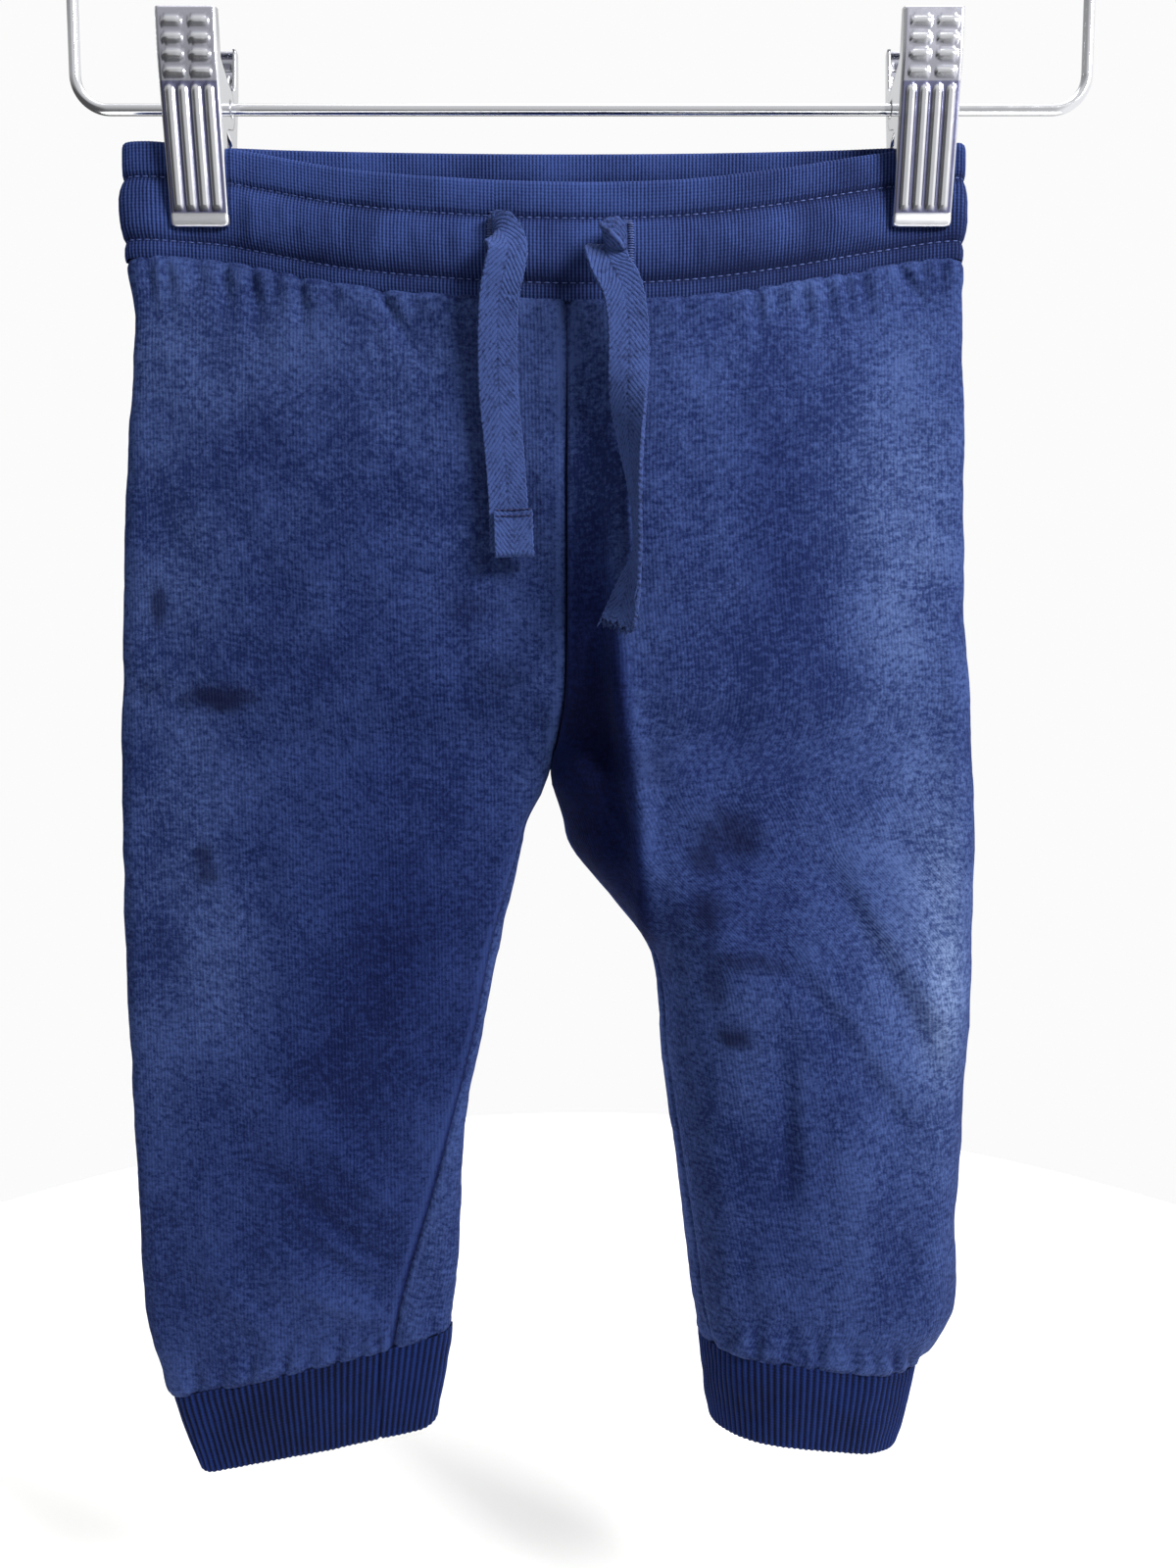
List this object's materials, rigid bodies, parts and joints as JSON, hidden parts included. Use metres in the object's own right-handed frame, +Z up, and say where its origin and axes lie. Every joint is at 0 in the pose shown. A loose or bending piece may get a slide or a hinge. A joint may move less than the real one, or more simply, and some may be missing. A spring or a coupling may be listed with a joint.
{
  "type": "jogger sweatpants on a clip hanger",
  "caption": "Baby's cotton jogger sweatpants with ribbed waistband and cuffs and a flat drawstring, clipped by the waist to a wire hanger.",
  "frame": {"origin": "inside top of the hanger's hook, where a rail carries it", "axes": "+Z up, the front of the trousers faces -Y, the wearer's left leg is at +X"},
  "size_m": [0.2762, 0.0519, 0.5401],
  "materials": {
    "sweat": "matt navy cotton sweat jersey, faded in soft patches",
    "rib": "matt navy one by one rib",
    "tape": "matt brushed navy twill tape",
    "chrome": "bright chrome plating"
  },
  "bodies": {
    "root": {"waistband": "rib", "front_right": "sweat", "back_right": "sweat", "cuff_right": "rib", "front_left": "sweat", "back_left": "sweat", "cuff_left": "rib", "drawstring_right": "tape", "drawstring_left": "tape", "hanger_bar": "chrome", "hanger_end_right": "chrome", "hanger_end_left": "chrome", "hanger_shoulder_right": "chrome", "hanger_shoulder_left": "chrome", "hanger_hook": "chrome", "hanger_ferrule": "chrome", "clip_right_front_jaw": "chrome", "clip_right_back_jaw": "chrome", "clip_right_spring": "chrome", "clip_left_front_jaw": "chrome", "clip_left_back_jaw": "chrome", "clip_left_spring": "chrome"}
  },
  "joints": []
}
